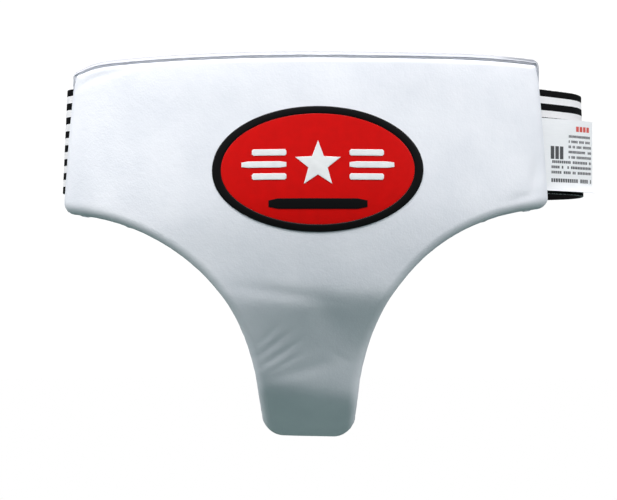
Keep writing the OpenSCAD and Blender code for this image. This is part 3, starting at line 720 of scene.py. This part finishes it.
satin_face = add(tree, "BsdfPrincipled", Base_Color=print_ink, Roughness=0.38, Sheen_Weight=0.2,
                 Normal=add(tree, "Bump", Height=slubs.outputs["Fac"], Strength=0.2, Distance=0.03 * mm).outputs[0])
add(tree, "OutputMaterial", Surface=satin_face.outputs[0])
end_piece(label, satin, "satin_label", "care_label", "care_label")


# ---------------------------------------------------------------- foams and back lining
# Two layers of foam fill the pad, and a white knitted lining closes its back. The soft foam and the
# lining are cut away inside the padded ring, where the cup stands.

cup_z = -108 * mm


def egg(turn):
    """The cup's rim, wider at the top, about its middle."""
    return np.stack([34 * mm * np.cos(turn) * (1 + 0.28 * np.sin(turn)), 50 * mm * np.sin(turn)], axis=-1)


def textile(name, low, high, size, strength, distance, roughness, sheen):
    """A fibrous material: two tones in soft clouds, and a bump of cells of a size."""
    made = bpy.data.materials.new(name)
    made.use_nodes = True
    tree = made.node_tree
    tree.nodes.clear()
    place = add(tree, "TexCoord").outputs["Object"]
    cells = add(tree, "TexVoronoi", Vector=place, Scale=1 / size).outputs["Distance"]
    clouds = add(tree, "TexNoise", Vector=place, Scale=0.15 / size, Detail=5.0).outputs["Fac"]
    speck = add(tree, "Math", {"operation": "MULTIPLY_ADD"}, in0=cells, in1=0.5, in2=clouds).outputs[0]
    tone = add(tree, "Mix", {"data_type": "RGBA"}, in0=speck, in6=linear(low), in7=linear(high)).outputs[2]
    relief = add(tree, "Bump", Height=cells, Strength=strength, Distance=distance).outputs[0]
    face = add(tree, "BsdfPrincipled", Base_Color=tone, Roughness=roughness, Sheen_Weight=sheen, Normal=relief)
    add(tree, "OutputMaterial", Surface=face.outputs[0])
    return made


# Closed-cell foam: matt, with fine pores; the soft foam is more open and a little yellow
foam = textile("closed_cell_foam", "#D9DADB", "#E6E7E8", 0.7 * mm, 0.4, 0.1 * mm, 0.8, 0.0)
soft_foam = textile("soft_open_foam", "#DCD8C8", "#ECE8DA", 1.1 * mm, 0.7, 0.3 * mm, 0.95, 0.1)
# Knitted lining: dull white jersey with rows of small loops, and a faint fuzz that catches light
lining_fabric = textile("white_knitted_lining", "#E2E4E6", "#F0F1F2", 0.9 * mm, 0.6, 0.16 * mm, 0.9, 0.3)

for name, material, slot_name, inset, depth, thickness, hole in (
    ("outer_foam", foam, "foam", 5.5 * mm, 3.6 * mm, 6.6 * mm, 0),
    ("inner_foam", soft_foam, "soft_foam", 5 * mm, 11 * mm, 3.8 * mm, 0.72),
    ("back_lining", lining_fabric, "lining_fabric", 3.2 * mm, 15.3 * mm, 1.1 * mm, 0.8),
):
    piece, x, z = panel_grid(name, 110, 220, inset)
    spread = np.hypot(x, z - cup_z) / np.linalg.norm(egg(np.arctan2((z - cup_z) / 50, x / 34)), axis=-1)
    soft = 0.35 * mm * rough(np.column_stack([x, x * 0, z]), 24 * mm, 3)
    round_edge = 1.6 * mm * np.exp(-(from_edge(x, z) - inset) / (2.5 * mm))
    lying = depth + (soft - round_edge if name == "back_lining" else 0 * soft)
    set_places(piece, on_pad(x, z, lying))
    if hole:
        for parts in (piece.data.polygons, piece.data.edges):
            parts.foreach_set("select", np.zeros(len(parts), bool))
        piece.data.vertices.foreach_set("select", spread < hole)
        bpy.ops.object.mode_set(mode="EDIT")
        bpy.ops.mesh.delete(type="VERT")
        bpy.ops.object.mode_set(mode="OBJECT")
    apply_modifier(piece, "SOLIDIFY", thickness=thickness, offset=-1)
    end_piece(piece, material, slot_name, "guard", name)


# ---------------------------------------------------------------- cup
# A moulded plastic bowl with vent holes, a soft bead on its rim, a knitted lining inside it and a
# padded ring of the same fabric round it. Its crown lies against the front foam.

crown_d, cup_depth, wall, foot_d = 11.3 * mm, 22 * mm, 2.4 * mm, 17 * mm
rim_d = crown_d + cup_depth


def bowl_d(q):
    return crown_d + cup_depth * q ** 2.6


def cup_rings(name, profile, sides=96):
    """A closed skin of rings round the cup: each ring is a share of the rim, a distance out from it and a depth."""
    piece, i, j = wrapped_grid(name, sides, len(profile))
    share, out, depth = np.array(profile)[j % len(profile)].T
    rim = egg(math.pi / 2 - math.tau * (i % sides) / sides)
    rim = rim * share[:, None] + out[:, None] * rim / np.linalg.norm(rim, axis=1)[:, None]
    set_places(piece, on_pad(rim[:, 0], cup_z + rim[:, 1], depth, True))
    close_seams()
    return piece


# Moulded polypropylene: smooth, slightly waxy grey with soft wide highlights
cup_plastic = textile("moulded_polypropylene", "#A9ACAF", "#B4B7BA", 2.5 * mm, 0.08, 0.05 * mm, 0.42, 0.0)
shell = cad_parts["cup_shell"]
shell.data.materials.clear()
shell.data.materials.append(cup_plastic)

# Soft rubber: dark grey and dull, with a fine matt bloom
cup_rubber = textile("soft_rubber", "#3E4042", "#4A4C4E", 0.5 * mm, 0.15, 0.05 * mm, 0.6, 0.05)
bead_d = rim_d + 2.6 * mm + wall / 2 + 0.4 * mm
bead = cup_rings("cup_edge", [
    (1, 2.6 * mm * math.cos(t) - 0.6 * mm, bead_d + 2.6 * mm * math.sin(t))
    for t in np.linspace(0, math.tau, 16, endpoint=False)])
end_piece(bead, cup_rubber, "cup_rubber", "guard", "cup_edge")

steps = np.linspace(0, 1, 18)
bowl = cup_rings("cup_lining", [
    *((q * 0.93, -wall * q ** 3, bowl_d(q) + wall + 0.5 * mm) for q in steps),
    *((q * 0.93, -(wall + 0.9 * mm) * q ** 3, bowl_d(q) + wall + 1.4 * mm) for q in steps[::-1])])
end_piece(bowl, lining_fabric, "lining_fabric", "guard", "cup_lining")

ring = cup_rings("cup_surround", [
    (0.86, 1 * mm, bowl_d(0.86) - 1.2 * mm), (1, 1.2 * mm, rim_d - 1.2 * mm), (1, 3.2 * mm, rim_d - 0.4 * mm),
    (1, 6 * mm, rim_d - 1.4 * mm), (1, 9.6 * mm, foot_d + 10 * mm), (1, 13 * mm, foot_d + 4 * mm),
    (1, 13.4 * mm, foot_d - 1.6 * mm), (0.86, 7 * mm, foot_d - 1.6 * mm), (0.72, 1.4 * mm, foot_d - 1.6 * mm)], 144)
apply_modifier(ring, "SUBSURF", levels=2)
places = np.array([v.co for v in ring.data.vertices])
apart = np.arctan2(places[:, 2] - cup_z, places[:, 0])
tucks = rough(np.column_stack([places[:, 0], places[:, 1] * 0.25, places[:, 2]]), 5 * mm, 4)
low = np.exp(-((places[:, 1] - places[:, 1].min()) / (9 * mm)) ** 2)
push = (0.45 * mm * tucks * (0.35 + low))[:, None]
outwards = np.column_stack([np.cos(apart), apart * 0, np.sin(apart)])
set_places(ring, places + push * outwards)
end_piece(ring, lining_fabric, "lining_fabric", "guard", "cup_surround")


# ---------------------------------------------------------------- closure
# The belt closes behind the wearer. A coated tab with hooks on its inner face, bound round its edge,
# is joined to the left elastic under a cuff, and grips a long patch of loop pile on the right elastic.

def plate(name, outline, y, thickness, bevel):
    """A thin upright plate from an outline in X and Z, from y outwards behind the wearer."""
    piece, _ = start_piece(name, "circle", vertices=len(outline), fill_type="NGON")
    set_places(piece, np.column_stack([outline[:, 0], np.full(len(outline), y), outline[:, 1]]))
    in_edit(lambda: bpy.ops.mesh.normals_make_consistent(inside=False))
    if piece.data.polygons[0].normal.y > 0:
        in_edit(lambda: bpy.ops.mesh.flip_normals())
    apply_modifier(piece, "SOLIDIFY", thickness=thickness, offset=-1)
    apply_modifier(piece, "BEVEL", width=bevel, segments=3, limit_method="ANGLE")
    return piece


def rectangle(node, r=0.6 * mm):
    """The outline of a CAD node seen from behind, with its corners rounded."""
    low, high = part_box(node)
    return np.vstack([arc(cx, cz, r, start, start + 90, 6) for cx, cz, start in (
        (high.x - r, high.z - r, 0), (low.x + r, high.z - r, 90),
        (low.x + r, low.z + r, 180), (high.x - r, low.z + r, 270))])


def tube(name, centres, side_a, side_b, section, closed=False):
    """A section swept along a line of places, with its two directions at each; open ends are closed flat."""
    count = len(centres)
    shrink = np.ones(count)
    if not closed:
        centres, side_a, side_b = (np.vstack([m[:1], m, m[-1:]]) for m in (centres, side_a, side_b))
        shrink = np.concatenate([[0], shrink, [0]])
        count += 2
    piece, i, j = wrapped_grid(name, count if closed else count - 1, len(section))
    i, j = i % count, j % len(section)
    middle = section.mean(axis=0)
    a, b = (middle + (section[j] - middle) * shrink[i][:, None]).T
    set_places(piece, centres[i] + a[:, None] * side_a[i] + b[:, None] * side_b[i])
    close_seams()
    return piece


tab_r = 12 * mm
tab_line = np.vstack([
    [[tab_low.x, tab_low.z]],
    arc(tab_high.x - tab_r, tab_low.z + tab_r, tab_r, -90, 0, 12),
    arc(tab_high.x - tab_r, tab_high.z - tab_r, tab_r, 0, 90, 12),
    [[tab_low.x, tab_high.z]],
])
tab = plate("closure_tab", tab_line, tab_low.y, elastic_t, 0.3 * mm)
end_piece(tab, white_leather, "white_leather", "closure_tab", "closure_tab")

# Binding tape: flat white grosgrain with fine crosswise ribs and a soft silky edge light
binding_tape = textile("white_binding_tape", "#E6E8EA", "#F2F3F4", 0.5 * mm, 0.45, 0.08 * mm, 0.7, 0.2)
line = even(tab_line, 2 * mm)
way = ahead(line, False)
line = line + np.column_stack([way[:, 1], -way[:, 0]]) * 0.2 * mm
upright = np.column_stack([line[:, 0], np.full(len(line), (tab_low.y + tab_high.y) / 2), line[:, 1]])
out = np.column_stack([way[:, 1], way[:, 0] * 0, -way[:, 0]])
back = np.tile([0.0, 1.0, 0.0], (len(line), 1))
fold = np.array([(-4.5, 1.15), (-2, 1.2), (0.2, 1.15), (1.2, 0.7), (1.6, 0), (1.2, -0.7), (0.2, -1.15), (-2, -1.2),
                 (-4.5, -1.15), (-4.5, -0.92), (0, -0.9), (0.4, 0), (0, 0.9), (-4.5, 0.92)]) * mm
binding = tube("tab_binding", upright, out, back, fold)
end_piece(binding, binding_tape, "binding_tape", "closure_tab", "tab_binding")

low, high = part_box("closure_cuff")
cuff = plate("closure_cuff", rectangle("closure_cuff", 1 * mm), low.y, high.y - low.y, 0.3 * mm)
end_piece(cuff, white_leather, "white_leather", "closure_base", "closure_cuff")

low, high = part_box("belt_end_hem")
z = np.linspace(low.z, high.z, 30)
fold = np.array([(3.2, 1.4), (1.4, 1.4), (0.5, 1), (0, 0), (0.5, -1), (1.4, -1.4), (3.2, -1.4),
                 (3.2, -0.95), (1.2, -0.92), (1.2, 0.92), (3.2, 0.95)]) * mm
line = np.column_stack([np.full(30, low.x), np.full(30, rear_y), z])
hem = tube("belt_end_hem", line, np.tile([1.0, 0, 0], (30, 1)), np.tile([0, 1.0, 0], (30, 1)), fold)
end_piece(hem, binding_tape, "binding_tape", "guard", "belt_end_hem")

# Loop pile: a matt white nap of tangled loops that scatters light, and lies in soft tufts
loop_pile = textile("white_loop_pile", "#D8DADC", "#EDEEEF", 0.8 * mm, 1.0, 0.5 * mm, 1.0, 0.6)
low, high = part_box("loop_tape")
pile, places = start_piece("loop_tape", "grid", x_subdivisions=200, y_subdivisions=90, size=2)
x = (low.x + high.x) / 2 + places[:, 0] * (high.x - low.x) / 2
z = places[:, 1] * high.z
inside = np.clip((1 - np.maximum(np.abs(places[:, 0]), np.abs(places[:, 1]) * 0.98)) * 25, 0, 1)
nap = 0.25 * mm * rough(np.column_stack([x, x * 0, z]), 1.4 * mm, 9) * inside
set_places(pile, np.column_stack([x, high.y - 0.6 * mm + 0.35 * mm * inside + nap, z]))
apply_modifier(pile, "SOLIDIFY", thickness=0.8 * mm, offset=1)
end_piece(pile, loop_pile, "loop_pile", "guard", "loop_tape")

# Hook tape: rows of small stiff nylon hooks on a flat woven base, slightly glossy
hook_nylon = textile("white_hook_nylon", "#E4E6E8", "#F0F1F2", 0.6 * mm, 0.4, 0.06 * mm, 0.45, 0.0)
low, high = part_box("hook_tape")
hooks, places = start_piece("hook_tape", "cone", vertices=6, radius1=0.3 * mm, radius2=0.16 * mm, depth=0.75 * mm)
set_places(hooks, places[:, [0, 2, 1]] * (1, -1, 1) + (low.x + 1.2 * mm, low.y + 0.45 * mm, low.z + 1.2 * mm))
for along, room in ((0, high.x - low.x), (2, high.z - low.z)):
    step = [0.0, 0.0, 0.0]
    step[along] = 1.7 * mm
    apply_modifier(hooks, "ARRAY", count=int((room - 2 * mm) / (1.7 * mm)), use_relative_offset=False,
                   use_constant_offset=True, constant_offset_displace=step)
in_edit(lambda: bpy.ops.mesh.normals_make_consistent(inside=False))
base = plate("hook_base", rectangle("hook_tape"), high.y - 0.45 * mm, 0.45 * mm, 0.1 * mm)
hooks.select_set(True)
bpy.context.view_layer.objects.active = hooks
bpy.ops.object.join()
end_piece(hooks, hook_nylon, "hook_tape", "closure_tab", "hook_tape")


# ---------------------------------------------------------------- strap under the crotch
# A 50 mm elastic of the same weave is sewn inside the tongue under a patch, turns up behind the
# wearer and is sewn to the inside of the belt.

strap_w = 50 * mm
strap_depth = 18.5 * mm
_, _, rise = front(np.float64(0), np.float64(tip_z + 5 * mm))
tip_turn = -math.atan(1 / -rise)
tip_way = np.array([math.cos(tip_turn), math.sin(tip_turn)])
tip_back = on_pad(np.float64(0), np.float64(tip_z), np.float64(strap_depth))[1:]
strap_start = tip_back - 26 * mm * tip_way
strap_y = rear_y - elastic_t - 0.4 * mm
up = math.radians(68)
under = route(strap_start, tip_turn, (29 * mm, 0), (18 * mm * (up - tip_turn), up - tip_turn))
climb = (strap_y - under[-1][0] - 40 * mm * (1 - math.sin(up))) / math.cos(up)
bend = route(under[-1], up, (climb, 0), (40 * mm * (math.pi / 2 - up), math.pi / 2 - up))
strap_line = np.vstack([under[:-1], bend[:-1], route(bend[-1], math.pi / 2, (28 * mm - bend[-1][1], 0))])


def follow_slant(piece):
    """Turns the part of a piece that lies on the tongue to the slant of the cloth there."""
    places = np.array([v.co for v in piece.data.vertices])
    x, y, z = places.T
    slant = front(x, z)[0] - front(0 * x, z)[0]
    places[:, 1] += slant * past(tip_back[0] + 5 * mm - y, 0, 2.5 * mm)
    set_places(piece, places)


strap = strip("rear_strap", strap_line, -strap_w / 2, strap_w / 2, 20, elastic_t, 0.15 * mm, False, -2.5 * mm)
follow_slant(strap)
end_piece(strap, striped_elastic, "striped_elastic", "guard", "rear_strap")

tip_off = np.array([-tip_way[1], tip_way[0]])
patch_start = strap_start + 1.5 * mm * tip_way + 1.8 * mm * tip_off
patch = strip("strap_patch", route(patch_start, tip_turn, (21 * mm, 0)), -23 * mm, 23 * mm, 20, 1 * mm, 0, False)
follow_slant(patch)
end_piece(patch, white_leather, "white_leather", "guard", "strap_patch")


# ---------------------------------------------------------------- side patches and stitching
# Coated patches cover the sewn ends of the elastics inside the pad. All the seams that show are rows
# of separate white stitches, each a short rounded bar of thread pulled slightly into the cloth.

patch_depth = belt_depth + elastic_t / 2 + 0.9 * mm
for side, name in ((1, "right_anchor"), (-1, "left_anchor")):
    line = np.array([plan(side * x, patch_depth) for x in np.linspace(136 * mm, leave_x - 7 * mm, 10)])
    patch = strip(name, line, -36 * mm, 36 * mm, 24, 1 * mm)
    end_piece(patch, white_leather, "white_leather", "guard", name)

# Polyester thread: bright, tightly twisted, with small soft highlights
thread = textile("white_polyester_thread", "#DADCDE", "#F0F1F2", 0.3 * mm, 0.4, 0.05 * mm, 0.5, 0.1)


def stitches(name, body, rows):
    """Rows of stitches, each a middle, a unit direction along it and a length, joined into one piece."""
    made = []
    for middle, way, length in rows:
        count = int(length / (4.2 * mm))
        piece, places = start_piece(name, "uv_sphere", segments=8, ring_count=8, radius=1)
        way, middle = np.array(way, float), np.array(middle, float)
        side = np.cross(way, (0, 0, 1) if abs(way[2]) < 0.9 else (1, 0, 0))
        side = side / np.linalg.norm(side)
        places = (places[:, 2:] * way * 1.5 * mm + places[:, :1] * side * 0.28 * mm
                  + places[:, 1:2] * np.cross(way, side) * 0.28 * mm)
        set_places(piece, places + middle - (count - 1) / 2 * 4.2 * mm * way)
        apply_modifier(piece, "ARRAY", count=count, use_relative_offset=False, use_constant_offset=True,
                       constant_offset_displace=[float(c) for c in way * 4.2 * mm])
        made.append(piece)
    for piece in made:
        piece.select_set(True)
    bpy.ops.object.join()
    in_edit(lambda: bpy.ops.mesh.normals_make_consistent(inside=False))
    end_piece(bpy.context.object, thread, "thread", body, name)


def stitch_box(middle, across, upwards, w, h):
    """Four rows round a rectangle."""
    middle, across, upwards = (np.array(v, float) for v in (middle, across, upwards))
    return ([(middle + s * h / 2 * upwards, across, w) for s in (-1, 1)]
            + [(middle + s * w / 2 * across, upwards, h - 8.4 * mm) for s in (-1, 1)])


low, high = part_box("loop_tape")
stitches("loop_stitches", "guard", stitch_box(
    ((low.x + high.x) / 2, high.y - 0.1 * mm, 0), (1, 0, 0), (0, 0, 1), high.x - low.x - 3 * mm, high.z * 2 - 3 * mm))
low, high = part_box("hook_tape")
stitches("hook_stitches", "closure_tab", stitch_box(
    ((low.x + high.x) / 2, tab_high.y + 0.1 * mm, 0), (1, 0, 0), (0, 0, 1), high.x - low.x - 4 * mm, high.z * 2 - 4 * mm))
low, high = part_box("closure_cuff")
stitches("cuff_stitches", "closure_base", [
    ((x, high.y + 0.05 * mm, 0), (0, 0, 1), belt_h - 8 * mm) for x in (low.x + 2.5 * mm, high.x - 2.5 * mm)])
stitches("anchor_stitches", "guard", [
    ((*plan(side * x, patch_depth + 0.6 * mm), 0), (0, 0, 1), 68 * mm)
    for side in (-1, 1) for x in (138.5 * mm, leave_x - 9.5 * mm)])
middle = patch_start + 10.5 * mm * tip_way + 0.6 * mm * tip_off
stitches("strap_patch_stitches", "guard", stitch_box(
    (0, *middle), (1, 0, 0), (0, *tip_way), strap_w - 10 * mm, 15 * mm))
follow_slant(bpy.context.object)
middle, cross = np.array([0, strap_y - elastic_t / 2 - 0.1 * mm, -2 * mm]), math.atan2(48, 42)
stitches("strap_top_stitches", "guard", stitch_box(middle, (1, 0, 0), (0, 0, 1), 42 * mm, 48 * mm) + [
    (middle, (math.cos(turn), 0, math.sin(turn)), math.hypot(42, 48) * mm - 16.8 * mm) for turn in (cross, -cross)])
